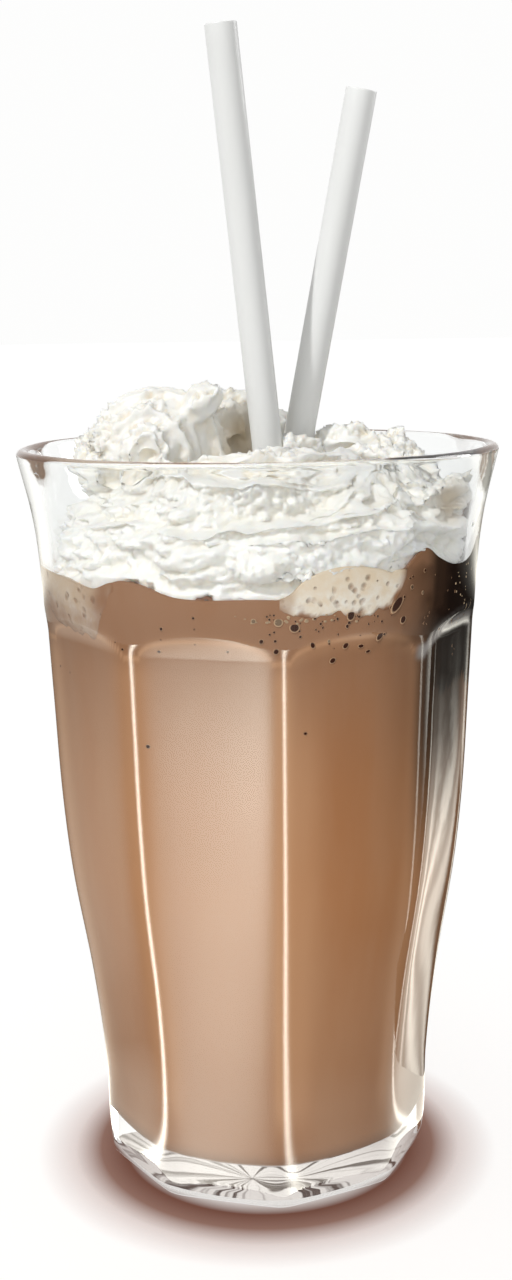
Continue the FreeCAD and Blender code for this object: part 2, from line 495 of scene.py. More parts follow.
def drinkRings():
    # rings from the middle of the bottom, out, up the wall to the drink's edge, and in over its top
    g, s = glassShape, drinkShape
    a = np.linspace(-180, 180, 481)[:-1]
    into = s["intoWall"]
    cornerTop = g["base"] + g["innerCorner"]
    corner = innerRadius(cornerTop) - g["innerCorner"]
    rings = [polar(a, corner * share, g["base"] - into) for share in (0.06, 0.4, 0.8)]
    for turn in np.radians(np.linspace(-90, -10, 9)):
        reach = (g["innerCorner"] + into) * np.cos(turn)
        rings.append(polar(a, corner + reach, cornerTop + (g["innerCorner"] + into) * np.sin(turn)))
    top = drinkEdge(a) + 2.5
    for share in np.concatenate([np.linspace(0, 0.82, 70), np.linspace(0.82, 1, 40)[1:]]):
        z = cornerTop + (top - cornerTop) * share
        rings.append(polar(a, innerRadius(z) + into, z))
    for share in (0.96, 0.8, 0.5, 0.2, 0.04):
        rings.append(polar(a, innerRadius(top) * share, s["level"] - 2 + (top - s["level"] + 2) * share**2))
    return np.array(rings)


drinkLook = {
    "brown": (0.47, 0.205, 0.085, 1),
    "pale": (0.51, 0.255, 0.125, 1),
    "mottle": {"Scale": 90.0, "Amount": 0.9},
    "drawn": 0.18,  # blotches are drawn out upward: height times this
    # by height, over the lowest 130 mm: darker at both ends; the upper stops are tinted grey-blue, a painted
    # reflection haze
    "shade": [
        (0.08, (0.80, 0.80, 0.80, 1)),
        (0.3, (0.93, 0.93, 0.93, 1)),
        (0.5, (1, 1, 1, 1)),
        (0.66, (0.94, 0.96, 1.0, 1)),
        (0.85, (0.77, 0.86, 1.05, 1)),
    ],
    # painted shade: near-black, standing in for the shade on the drink's right side
    "paintedShade": (0.010, 0.005, 0.004, 1),
    # painted reflection: a pale grey band under the arch on the right
    "paintedArchLight": (0.38, 0.35, 0.33, 1),
    # painted light: an orange glow behind the ridges and arches
    "ridge": (0.82, 0.47, 0.26, 1),
    "paintedRidgeShare": 0.42,
    # painted light on the drink's underside: dark and pale rays, and a glow
    "paintedRays": [(0.14, (0.15, 0.12, 0.11, 1)), (0.46, (0.92, 0.90, 0.88, 1))],
    "paintedFootGlow": 0.30,
    "grain": {"Scale": 1400.0, "Size": 0.25},
}
drinkMaterial, n = newMaterial("chocolateMilk")
place = n.place()
drawn = n.add("Mapping", Vector=place, Scale=(1.0, 1.0, drinkLook["drawn"]))
body = n.group(
    mottleGroup,
    Vector=drawn.outputs[0],
    Colour=drinkLook["brown"],
    Other=drinkLook["pale"],
    **drinkLook["mottle"],
)
height = n.add("SeparateXYZ", Vector=place)
shade = n.ramp(n.spread(height.outputs[2], From_Min=0.0, From_Max=0.13), drinkLook["shade"])
tone = n.mix(1.0, body.outputs["Colour"], shade, "MULTIPLY")
# painted light behind the ridges and arches
paintedRidgeShare = n.calc("MULTIPLY", n.painted("ridge"), drinkLook["paintedRidgeShare"])
tone = n.mix(paintedRidgeShare, tone, drinkLook["ridge"])
# painted shade on the drink's right side
tone = n.mix(n.painted("paintedShade"), tone, drinkLook["paintedShade"])
# painted reflection: over the dark patch the arch is a pale band
tone = n.mix(n.painted("paintedArchLight"), tone, drinkLook["paintedArchLight"])
# painted light: seen from below through the thick base the drink's foot is painted pale, with light and dark
# rays and a weak glow, standing in for the light the base gathers
foot = n.painted("foot")
paintedRays = n.ramp(n.painted("paintedRays"), drinkLook["paintedRays"])
grain = n.group(bubbleGroup, Vector=place, **drinkLook["grain"])
n.shader(
    Base_Color=n.mix(foot, tone, paintedRays),
    Emission_Color=paintedRays,
    Emission_Strength=n.calc("MULTIPLY", foot, drinkLook["paintedFootGlow"]),
    Roughness=0.35,
    Specular_IOR_Level=0.0,
    Normal=n.bump(grain.outputs["Height"], 0.08, 0.0002),
)

# painted shade: a near-black patch on the right of the drink stands in for the shade there, with torn edges
# pairs are the place of none and of all, in degrees round the glass or in mm of height
paintedShadePatch = {
    "tornSize": 5.0,
    "tornReach": 3.5,
    "left": (27, 58),
    "right": (106, 86),
    "top": (132, 125),
    "low": (99.6, 100.8),
    "lowTorn": 0.9,
    # to the left of this it stays over the arch
    "archLeft": (49, 52),
    "archLow": (110, 113),
    # a dim and a faint painted shade fade out below it
    "dim": 0.7,
    "dimLeft": (45, 51),
    "dimRight": (90, 74),
    "dimLow": (58, 96),
    "faint": 0.22,
    "faintLeft": (30, 46),
    "faintLow": (60, 105),
    "most": 0.98,
}


def paintedShadeOn(points, angle):
    # painted shade: the product of eased steps over angle and height, or the weaker shades where they are
    # more
    s, z = paintedShadePatch, points[:, 2]
    torn = layeredNoise(points, s["tornSize"], 3, 11) * s["tornReach"]
    right = smooth(*s["right"], angle + torn)
    dark = smooth(*s["left"], angle + torn) * right * smooth(*s["top"], z + torn)
    dark = dark * np.maximum(smooth(*s["archLow"], z), smooth(*s["archLeft"], angle))
    dark = dark * smooth(*s["low"], z + torn * s["lowTorn"])
    dim = s["dim"] * smooth(*s["dimLeft"], angle) * smooth(*s["dimRight"], angle) * smooth(*s["dimLow"], z)
    dim = dim + s["faint"] * smooth(*s["faintLeft"], angle) * smooth(*s["faintLow"], z)
    return np.clip(np.maximum(dark, dim * right), 0, 1) * s["most"]


# painted light: a glow painted on the drink behind the ridges and arches of the glass, standing in for the
# light the glass focuses there
paintedGlow = {
    "bend": 0.95,  # seen past the wall's bend, a mark lies this much nearer the front
    "width": 2.2,
    "halo": 0.6,
    "haloAt": 5.0,
    "haloWidth": 5.5,
    "haloTop": (112, 88),
    "side": 0.4,
    "sideWidth": 18.0,
    "leftFrom": -14.7,
    "left": 0.75,
    "leftWidth": 5.0,
    "low": (10, 22),
    "top": (114, 106),
    "archRound": 113.0,  # height at which the arches meet the round body
    "archDrop": 0.6,
    "archLine": (0.95, 0.6),
    "archGlow": (0.35, 1.2, 1.6),
    "archRight": (54, 46),
    "paintedReflectionBand": (0.5, 1.5),
    "bandLeft": (46, 49),
    "bandRight": (94, 84),
}


def paintedRidgeLight(angle, z):
    # painted light: exp(-(a / w)^2), a the angle from the nearest ridge, and a halo to its right, weaker to
    # the sides
    s, phase = paintedGlow, glassShape["phase"]
    off = (angle * s["bend"] - phase + halfFacet) % (2 * halfFacet) - halfFacet
    halo = s["halo"] * np.exp(-(((off - s["haloAt"]) / s["haloWidth"]) ** 2))
    light = np.exp(-((off / s["width"]) ** 2)) + halo * smooth(*s["haloTop"], z)
    light = light * (s["side"] + (1 - s["side"]) * np.exp(-(((angle - phase) / s["sideWidth"]) ** 2)))
    left = s["left"] * np.exp(-((off / s["leftWidth"]) ** 2))
    light = np.where(angle < s["leftFrom"], left, light)
    return light * smooth(*s["low"], z) * smooth(*s["top"], z)


def aboveArch(angle, z):
    # z - z0 - h, where h^2 = s^2 - (s - (R cos a - D))^2, R the round body, D the facet, s the scoop
    g = glassShape
    fromMiddle = (angle * paintedGlow["bend"] - g["phase"]) % (2 * halfFacet) - halfFacet
    rise = ridgeRadius(paintedGlow["archRound"]) * np.cos(np.radians(fromMiddle)) - facetDistance(g["shoulder"])
    rise = g["scoop"] ** 2 - (g["scoop"] - np.maximum(rise, 0)) ** 2
    return z - (g["shoulder"] + np.sqrt(np.maximum(rise, 0)) - paintedGlow["archDrop"])


def paintDrink(mesh):
    # values between 0 and 1 at the points, for the material's colours: painted shade, painted light along
    # the ridges and arches, a painted reflection band and the foot's painted light rays
    points = readPoints(mesh)
    angle, z = angleOf(points), points[:, 2]
    above = aboveArch(angle, z)
    strong, thin = paintedGlow["archLine"]
    weak, under, wide = paintedGlow["archGlow"]
    paintedArchLight = np.exp(-((above / thin) ** 2)) + weak * np.exp(-(((above + under) / wide) ** 2))
    paintedArchLight = strong * paintedArchLight * smooth(*paintedGlow["archRight"], angle)
    # painted reflection: a pale band under the arch on the right facet
    under, wide = paintedGlow["paintedReflectionBand"]
    paintedReflectionBand = np.exp(-(((above + under) / wide) ** 4))
    paintedReflectionBand = paintedReflectionBand * smooth(*paintedGlow["bandLeft"], angle) * smooth(*paintedGlow["bandRight"], angle)
    spokes = np.stack([np.cos(np.radians(angle)) * 9, np.sin(np.radians(angle)) * 9, z * 0], -1)
    # painted shade
    setValues(mesh, "paintedShade", paintedShadeOn(points, angle))
    # painted light along the ridges and arches
    setValues(mesh, "ridge", np.clip(np.maximum(paintedRidgeLight(angle, z), paintedArchLight), 0, 1))
    # painted reflection band
    setValues(mesh, "paintedArchLight", paintedReflectionBand)
    # painted light at the drink's foot and its rays
    setValues(mesh, "foot", smooth(7.9, 7.0, z))
    setValues(mesh, "paintedRays", 0.5 + 0.5 * layeredNoise(spokes, 1.0, 3, 15))


drinkMesh = meshFrom("chocolateMilk", *closedGrid(drinkRings()))
paintDrink(drinkMesh)
drinkPiece = pieceFrom("chocolateMilk", drinkMesh, drinkMaterial, "milkshake")
print("drink done")


# the froth ring at the wall

frothShape = {
    "intoWall": 0.22,
    "thickness": 4.0,
    "waver": (3.4, 1.7),  # size and height of the waves in the lower edge
    "over": 0.8,  # the upper edge stands this far over the froth's depth
    "least": 0.6,
    # where it is less deep than this pair it is lifted behind the cream and drawn in from the wall
    "none": (1.7, 0.9),
    "lifted": 1.2,
    "drawnIn": 1.6,
}


def frothRings():
    # a closed band round the wall: its section is a rounded box between the drink's edge
    # and the edge plus the froth's depth, flat against the glass
    s = frothShape
    a = np.linspace(-180, 180, 481)[:-1]
    rim = polar(a, 40.0, 121.0)
    size, tall = s["waver"]
    low = drinkEdge(a) + layeredNoise(rim, size, 4, 21) * tall
    none = smooth(*s["none"], frothDepth(a))
    low = low + s["lifted"] * none
    high = np.maximum(drinkEdge(a) + frothDepth(a) + s["over"], low + s["least"])
    section = []
    for share in np.linspace(0, 1, 16):
        z = low + (high - low) * share
        section.append(polar(a, innerRadius(z) + s["intoWall"] - s["drawnIn"] * none, z))
    for share in np.linspace(1, 0, 8):
        z = low + (high - low) * (0.04 + 0.92 * share)
        inward = s["thickness"] * (0.3 + 0.7 * math.sin(math.pi * share))
        section.append(polar(a, innerRadius(z) - inward, z))
    return closedLoop(np.array(section))


frothLook = {
    "pale": (1.0, 0.97, 0.89, 1),
    "tan": (0.86, 0.70, 0.50, 1),
    "pit": (0.30, 0.14, 0.07, 1),
    "drink": (0.31, 0.14, 0.065, 1),
    "mottle": {"Scale": 560.0, "Amount": 0.8},
    "grain": {"Scale": 1700.0, "Amount": 0.3},
    "pits": {"Scale": 560.0, "Size": 0.40},
    "upperTan": 0.7,
    "pitShare": 0.75,
}
frothMaterial, n = newMaterial("milkFroth")
place = n.place()
pale, tan = frothLook["pale"], frothLook["tan"]
body = n.group(mottleGroup, Vector=place, Colour=pale, Other=tan, **frothLook["mottle"])
# tanner toward its upper edge, with a fine grain
upper = n.spread(n.painted("high"), From_Min=0.3, From_Max=1.0, To_Min=0.0, To_Max=frothLook["upperTan"])
upper = n.mix(upper, body.outputs["Colour"], tan)
body = n.group(mottleGroup, Vector=place, Colour=upper, Other=tan, **frothLook["grain"])
pits = n.group(bubbleGroup, Vector=place, **frothLook["pits"])
pitShare = n.calc("MULTIPLY", pits.outputs["Pit"], frothLook["pitShare"])
tone = n.mix(pitShare, body.outputs["Colour"], frothLook["pit"])
n.shader(
    Base_Color=n.mix(n.painted("fade"), tone, frothLook["drink"]),
    Roughness=0.6,
    Specular_IOR_Level=0.05,
    Normal=n.bump(pits.outputs["Height"], 0.9, 0.0005),
)

# pairs are the place of none and of all, or the size of the noise and its share
frothFade = {
    "edgeTorn": (2.4, 1.3),
    "reach": 1.1,  # from the drink's edge up to the full tone
    "below": -0.3,  # share of that reach below the edge where it begins
    "deepTorn": 4.0,
    "deep": (1.0, 4.0),
    # the patch on the left is thinner and fades over a longer way
    "leftOf": -30,
    "leftReach": 8.0,
    "leftLeast": 0.35,
    "leftFrom": (-36, -60),
    "leftTorn": (6.0, 7),
}


def paintFroth(mesh):
    # how much it fades into the drink, and the height within the froth
    s = frothFade
    points = readPoints(mesh)
    angle = angleOf(points)
    left = angle < s["leftOf"]
    size, share = s["edgeTorn"]
    above = points[:, 2] - drinkEdge(angle) + layeredNoise(points, size, 3, 23) * share
    rising = smooth(s["below"], 1, above / np.where(left, s["leftReach"], s["reach"]))
    deep = frothDepth(angle) + layeredNoise(points, s["deepTorn"], 2, 24)
    fade = 1 - rising * smooth(*s["deep"], deep)
    size, share = s["leftTorn"]
    sideways = 1 - smooth(*s["leftFrom"], angle + layeredNoise(points, size, 3, 25) * share)
    least = s["leftLeast"]
    fade = np.where(left, least + (1 - least) * np.maximum(fade, sideways), fade)
    setValues(mesh, "fade", np.clip(fade, 0, 1))
    setValues(mesh, "high", np.clip(above / np.maximum(frothDepth(angle), 1.0), 0, 1))


frothMesh = meshFrom("milkFroth", *frothRings())
paintFroth(frothMesh)
frothPiece = pieceFrom("milkFroth", frothMesh, frothMaterial, "froth")
print("froth done")


# the whipped cream

creamShape = {
    "voxel": 0.55,
    "around": 56,  # points round a piped rope
    "ridge": 0.12,
    "foldLong": 12.0,
    "foldTall": 3.4,
    "foldDepth": 1.5,
    # splashes of drink, the first also painted shade in the hollow between the heap and the left straw:
    # middle, and how far they reach
    "stainsAndShade": [
        ((-3.0, 2.0, 147.0), (4.5, 6.0, 6.0)),
        ((27.0, 10.0, 144.0), (6.0, 4.0, 3.0)),
        ((36.0, -18.0, 137.0), (3.0, 6.0, 3.0)),
    ],
    "intoWall": 0.28,
    "warp": 2.0,
    # heights of the plain inside
    "bottom": 117.0,
    "side": 134.0,
    "crown": 141.0,
    # lower edge of the cream on the glass
    "edge": [
        (-160, 127.0), (-110, 125.5), (-62, 123.6), (-47, 124.6), (-36, 124.8), (-31, 123.4),
        (-25, 121.5), (-12, 120.9), (0, 121.0), (6, 122.8), (11, 124.8), (17, 126.7),
        (26, 127.9), (34, 129.0), (40, 130.0), (48, 129.2), (56, 125.2), (64, 123.9),
        (71, 124.8), (77, 129.0), (83, 134.0), (89, 136.0), (97, 133.0), (110, 129.0),
    ],
}


def alongPoints(points, count):
    # a smooth path through given points, count places along it
    points = np.array(points, float)
    order = np.arange(len(points))
    t = np.linspace(0, len(points) - 1, count)
    return np.stack([through(np.stack([order, points[:, c]], -1), t) for c in range(3)], -1)


def pipedRope(path, radius, lobes=6, depth=0.10, twist=0.0, flat=1.0, up=(0.13, -0.97, 0.2)):
    # a tube round the path: r = radius (1 + depth cos(k a + twist s) + fine ridges) sqrt(1 - (2 s - 1)^8),
    # s the share of the way along it, a the angle round it, the ridges torn by noise along the rope;
    # flat squeezes it across the up side
    count = len(path)
    s = np.linspace(0, 1, count)
    along = np.gradient(path, axis=0)
    along /= np.linalg.norm(along, axis=1)[:, None]
    side = np.cross(along, np.array(up))
    side /= np.linalg.norm(side, axis=1)[:, None]
    over = np.cross(side, along)
    a = np.linspace(0, 2 * math.pi, creamShape["around"] + 1)[:-1]
    taper = np.sqrt(np.maximum(1e-6, 1 - np.abs(2 * s - 1) ** 8))
    r = np.broadcast_to(radius, (count,))[:, None] * taper[:, None]
    middle = np.broadcast_to(path[:, None], (count, len(a), 3)).reshape(-1, 3)
    fine = layeredNoise(middle + np.tile(a, count)[:, None] * 3.0, 2.2, 2, 91).reshape(count, len(a))
    turn = a[None, :] + twist * s[:, None] / lobes
    ridges = creamShape["ridge"] * np.abs(np.cos(lobes * 1.5 * turn)) * (0.6 + fine)
    r = r * (1 + depth * np.cos(lobes * turn) + ridges)
    points = path[:, None] + side[:, None] * (r * np.cos(a))[..., None]
    points = points + over[:, None] * (r * np.sin(a) * flat)[..., None]
    return closedGrid(points[:, ::-1])


def creamFill():
    # the plain inside: a drum as wide as the hollow under a low crown, side + (crown - side)(1 - d^2)
    s = creamShape
    a = np.linspace(-180, 180, 97)[:-1]
    rings = [polar(a, 41.0 * share, s["bottom"]) for share in (0.05, 0.5, 0.93)]
    for z in np.linspace(s["bottom"] + 1, s["side"] - 2, 12):
        rings.append(polar(a, innerRadius(z) - 1.2, z))
    for share in np.linspace(0.93, 0.03, 14):
        rings.append(polar(a, 41.0 * share, s["side"] + (s["crown"] - s["side"]) * (1 - share**2)))
    return closedGrid(np.array(rings))


def creamRopes():
    ropes = []
    # one long rope laid round and round against the wall, rising and closing in
    t = np.linspace(0, 1, 1100)
    a = -150 + 1330 * t
    distance = 37.0 - 19 * t**1.7 + 1.0 * np.sin(np.radians(a * 2.3))
    z = 126.0 + 16.5 * t**0.95 + 1.0 * np.sin(np.radians(a * 1.7 + 40))
    path = polar(a, distance, z)
    path[:, 2] += 0.055 * path[:, 0]
    ropes.append(pipedRope(path, 5.4 - 0.9 * t + 0.5 * np.sin(t * 61), 5, 0.13, 70, 0.85, (0, 0, 1)))
    # the curl on the left: loops round a line that points to the front, wider toward the back
    t = np.linspace(0, 1, 420)
    turn = np.radians(-40 + 900 * t)
    reach = 1.4 + 10.2 * t
    path = np.stack(
        [-20.5 + 1.12 * reach * np.cos(turn), -10.5 + 12 * t, 143.4 + reach * np.sin(turn)], -1
    )
    ropes.append(pipedRope(path, 3.2 + 1.0 * t, 8, 0.15, 6, 1.0))
    t = np.linspace(0, 1, 360)
    turn = np.radians(130 + 700 * t)
    reach = 11.6 - 7 * t
    path = np.stack([-20 + 1.1 * reach * np.cos(turn), 1.0 + 17 * t, 142.8 + reach * np.sin(turn)], -1)
    ropes.append(pipedRope(path, 4.3 - 1.0 * t, 8, 0.15, 6, 1.0))
    # the peak's knob, the lump behind the left straw, the tuft on the right, curls at the straws
    for points, radius in (
        ([(-15, -1, 150), (-12, -1.5, 154), (-10.4, -2, 156.5), (-10.0, -2, 158.4)], 3.3),
        ([(-9.5, 4, 147), (-7.0, 5, 150.5), (-3.5, 7, 151.5), (0, 9, 148)], 3.8),
        ([(-14, 6, 148), (-8, 9, 149), (-2, 11, 147), (4, 12, 144)], 5.0),
        ([(0, 8, 144), (3, 10, 148), (7, 12, 147.5), (11, 11, 144)], 3.2),
        ([(10, 6, 142), (15, 5, 145.0), (19, 4, 146.4), (24, 3, 144.4), (30, 1, 140)], 3.1),
        ([(14, -2, 140.5), (20, -3, 143.0), (27, -4, 141), (34, -4, 137)], 3.4),
        ([(22, 8, 143), (27, 6, 144.5), (32, 3, 140.5), (37, 0, 135)], 3.2),
        ([(4, -6, 143), (6.5, -3, 146.4), (10, -1.5, 146.6), (13, -1, 144)], 1.9),
        ([(31, -22, 133), (34, -17, 137.5), (37, -11, 138.5), (39, -5, 135)], 2.8),
    ):
        path = alongPoints(points, 60)
        ropes.append(pipedRope(path, radius, 5, 0.15, 9, 1.0))
    return ropes


def creamBody():
    # the ropes and the fill, warped a little, melted into one skin of even small faces
    vertices, quads, triangles = joined(creamRopes() + [creamFill()])
    bend = np.stack([layeredNoise(vertices, 11.0, 2, seed) for seed in (31, 37, 41)], -1)
    vertices = vertices + bend * creamShape["warp"]
    rough = sceneObject("creamRough", meshFrom("creamRough", vertices, quads, triangles))
    melt = rough.modifiers.new("melt", "REMESH")
    melt.mode = "VOXEL"
    melt.voxel_size = creamShape["voxel"] * mm
    bpy.context.view_layer.update()
    found = rough.evaluated_get(bpy.context.evaluated_depsgraph_get())
    skin = bpy.data.meshes.new_from_object(found)
    bpy.data.objects.remove(rough)
    return skin


def neighbourMean(mesh, values):
    # mean of the values over each point's neighbours along the edges
    edges = np.empty(len(mesh.edges) * 2, np.int32)
    mesh.edges.foreach_get("vertices", edges)
    edges = edges.reshape(-1, 2)
    total = np.zeros_like(values)
    count = np.zeros(len(values))
    for start, end in ((0, 1), (1, 0)):
        np.add.at(total, edges[:, start], values[edges[:, end]])
        np.add.at(count, edges[:, start], 1)
    return total / np.maximum(count, 1)[:, None]


creamSurface = {
    "curds": (4.2, 0.45),  # size and height
    "torn": (1.3, 0.95),
    "sink": 0.3,
    "soften": 0.15,
    # torn where: pairs are the place of none and of all
    "lower": (135, 130),
    "crests": (141, 145),
    "tuft": ((20, 26), (134, 138)),
    "heapLeft": ((-26, -30), (140, 146)),
    "edgeWaver": (4.2, 1.7),
    "underEdge": 1.1,
    "mouth": (138, 146),
    "mouthIn": 3.5,
    "slope": 0.13,
    "foldWaver": (12.0, 1.6),
}


def tornPlaces(points, normals):
    # the most of four masks, each the product of eased steps over noise, slope, side or height
    s = creamSurface
    x, z = points[:, 0], points[:, 2]
    lower = smooth(-0.1, 0.35, layeredNoise(points, 8.0, 2, 71)) * smooth(*s["lower"], z)
    crests = smooth(0.2, 0.75, normals[:, 2]) * smooth(-0.25, 0.2, layeredNoise(points, 5.0, 2, 72))
    tuft = smooth(*s["tuft"][0], x) * smooth(*s["tuft"][1], z)
    heapLeft = smooth(*s["heapLeft"][0], x) * smooth(*s["heapLeft"][1], z)
    return np.maximum.reduce([lower, crests * smooth(*s["crests"], z), tuft, heapLeft])


def foldsAt(points, angle, line, torn):
    # long folds that rise to the right: depth (1 - eased |noise(u / long, v / tall)| + torn / 4),
    # u the way round the wall, v the height less the slope times u, none under the edge line
    s = creamShape
    size, share = creamSurface["foldWaver"]
    u = np.radians(angle) * 41
    v = points[:, 2] - creamSurface["slope"] * u + share * layeredNoise(points, size, 2, 83)
    at = np.stack([u / s["foldLong"], v / s["foldTall"], u * 0 + 3.3], -1)
    crease = np.abs(layeredNoise(at, 1.0, 1, 84) + 0.35 * layeredNoise(at, 0.37, 2, 85))
    start = np.maximum(line + 0.3, drinkEdge(angle) + 2.6)
    depth = 1 - smooth(0.0, 0.75, crease) + 0.25 * torn
    return s["foldDepth"] * depth * smooth(0, 2.2, points[:, 2] - start)


def pressedOnGlass(points, normals, torn):
    # held inside the wall: flat on it over the edge line, drawn in under the line, dented by the folds
    s = creamSurface
    angle, z = angleOf(points), points[:, 2]
    distance = np.hypot(points[:, 0], points[:, 1])
    size, share = s["edgeWaver"]
    line = around(creamShape["edge"], angle) + layeredNoise(points, size, 4, 81) * share
    folds = foldsAt(points, angle, line, torn)
    limit = innerRadius(np.clip(z, 12, 146)) + creamShape["intoWall"] - folds
    limit = limit - s["underEdge"] * smooth(0.35, -0.35, z - line) - s["mouthIn"] * smooth(*s["mouth"], z)
    facing = np.abs((normals[:, :2] * points[:, :2]).sum(1)) / np.maximum(distance, 1e-6)
    dented = distance - 1.3 * folds * smooth(0.2, 0.7, facing) * smooth(148, 142, z)
    share = np.minimum(np.maximum(dented, 0.1), limit) / np.maximum(distance, 1e-6)
    return points * np.stack([share, share, share * 0 + 1], -1)


def paintedFoldShadeTone(mesh, points):
    # painted shade: eased mean of (neighbours' middle - point) along the normal: more in the hollows, most
    # up the heap
    hollow = neighbourMean(mesh, points) - points
    for _ in range(3):
        hollow = neighbourMean(mesh, hollow)
    tone = smooth(0.0, 0.07, (hollow * readVectors(mesh, "normal")).sum(1))
    return tone * (1 + 0.9 * smooth(138, 143, points[:, 2]))


creamSkin = creamBody()
print("cream melted:", len(creamSkin.vertices), "points")
points, normals = readPoints(creamSkin), readVectors(creamSkin, "normal")
# curds: rounded lumps everywhere, torn crests on the heap, the tuft and the lower layers
size, curdShare = creamSurface["curds"]
lumps = layeredNoise(points, size, 3, 51)
size, tornShare = creamSurface["torn"]
torn = 1 - np.abs(layeredNoise(points, size, 2, 61)) * 2.6
rough = tornPlaces(points, normals)
out = curdShare * lumps + tornShare * torn * rough - creamSurface["sink"]
points = points + normals * out[:, None]
points = points + creamSurface["soften"] * (neighbourMean(creamSkin, points) - points)
points = pressedOnGlass(points, normals, torn)
creamSkin.vertices.foreach_set("co", (points * mm).astype(np.float32).ravel())
creamSkin.update()
# painted shade in the hollows
setValues(creamSkin, "paintedFoldShade", paintedFoldShadeTone(creamSkin, points))
setValues(creamSkin, "rough", rough)
# stains, and painted shade between the heap and the left straw
stainAndShade = np.zeros(len(points))
for centre, reach in creamShape["stainsAndShade"]:
    stainAndShade = np.maximum(stainAndShade, np.exp(-(((points - np.array(centre)) / np.array(reach)) ** 2).sum(1)))
setValues(creamSkin, "stainAndShade", np.clip(stainAndShade * 1.3, 0, 1))
creamSkin.polygons.foreach_set("use_smooth", np.ones(len(creamSkin.polygons), bool))
creamSkin.name = "whippedCream"

creamLook = {
    "white": (0.90, 0.90, 0.87, 1),
    "warm": (0.88, 0.865, 0.81, 1),
    "mottle": {"Scale": 120.0, "Amount": 0.9},
    # painted shade: a tan tint in the hollows and creases
    "paintedFoldShade": (0.86, 0.80, 0.67, 1),
    "paintedFoldShadeShare": 0.5,
    # splashes of drink, and painted shade between the heap and the left straw
    "stainAndShade": (0.62, 0.52, 0.38, 1),
    # painted shade: a little duller over the rim, standing in for the light that nothing throws back on it
    # there
    "dull": {"From_Min": 0.132, "From_Max": 0.141, "To_Min": 1.04, "To_Max": 0.90},
    "grain": {"To_Min": 0.12, "To_Max": 0.45},
}
creamMaterial, n = newMaterial("whippedCream")
place = n.place()
body = n.group(
    mottleGroup, Vector=place, Colour=creamLook["white"], Other=creamLook["warm"], **creamLook["mottle"]
)
# painted shade in the hollows and creases
paintedFoldShadeShare = n.calc("MULTIPLY", n.painted("paintedFoldShade"), creamLook["paintedFoldShadeShare"])
tone = n.mix(paintedFoldShadeShare, body.outputs["Colour"], creamLook["paintedFoldShade"])
tone = n.mix(n.painted("stainAndShade"), tone, creamLook["stainAndShade"])
height = n.add("SeparateXYZ", Vector=place)
dull = n.spread(height.outputs[2], **creamLook["dull"])
grain = n.add("TexNoise", {"noise_type": "RIDGED_MULTIFRACTAL"}, Vector=place, Scale=520.0, Detail=4.0)
n.shader(
    Base_Color=n.add("VectorMath", {"operation": "SCALE"}, _0=tone, Scale=dull).outputs[0],
    Roughness=0.42,
    Specular_IOR_Level=0.3,
    Subsurface_Weight=0.45,
    Subsurface_Radius=(1.0, 0.85, 0.65),
    Subsurface_Scale=0.0013,
    Normal=n.bump(grain.outputs["Fac"], n.spread(n.painted("rough"), **creamLook["grain"]), 0.0006),
)
creamPiece = pieceFrom("whippedCream", creamSkin, creamMaterial, "whipped_cream")
print("cream done")


# bubbles in the drink against the glass

bubbleShape = {
    "seed": 5,
    "scattered": 80,
    "specks": 26,
    "low": 104.0,
    "intoWall": 0.30,
    # larger ones: angle, height, width, height of the bubble, lean to the right, how pale
    "large": [
        (36.4, 120.2, 2.4, 3.6, 0.6, 0.0),
        (23.0, 119.1, 1.7, 2.3, 0.1, 0.0),
        (8.6, 117.4, 2.0, 1.9, 0.0, 0.0),
        (4.6, 118.5, 1.7, 1.7, 0.0, 0.22),
        (-1.5, 118.8, 1.0, 1.0, 0.0, 0.25),
        (13.2, 114.3, 1.0, 1.5, -0.1, 0.0),
        (22.6, 113.6, 1.3, 1.7, 0.2, 0.0),
        (27.3, 113.1, 1.4, 1.0, 0.0, 0.0),
        (32.6, 115.1, 1.5, 2.8, 0.3, 0.0),
        (39.0, 117.1, 1.5, 1.7, 0.2, 0.0),
        (19.2, 110.6, 1.4, 1.2, 0.3, 0.0),
        (29.8, 111.7, 1.2, 0.8, 0.4, 0.0),
        (4.2, 113.1, 1.1, 1.2, 0.0, 0.0),
        (0.4, 115.1, 0.9, 0.9, 0.0, 0.0),
        (17.5, 115.0, 0.6, 0.9, 0.0, 0.3),
        (11.5, 118.6, 0.8, 0.7, 0.0, 0.5),
        (7.0, 119.4, 0.6, 0.6, 0.0, 0.6),
        (41.0, 123.0, 0.9, 1.0, 0.0, 0.1),
        (45.0, 121.6, 0.7, 0.8, 0.0, 0.2),
        (-27.5, 112.6, 0.9, 0.8, 0.0, 0.0),
        (11.4, 97.4, 0.8, 0.7, 0.0, 0.0),
        (-33.0, 94.0, 1.1, 0.9, 0.0, 0.0),
    ],
}


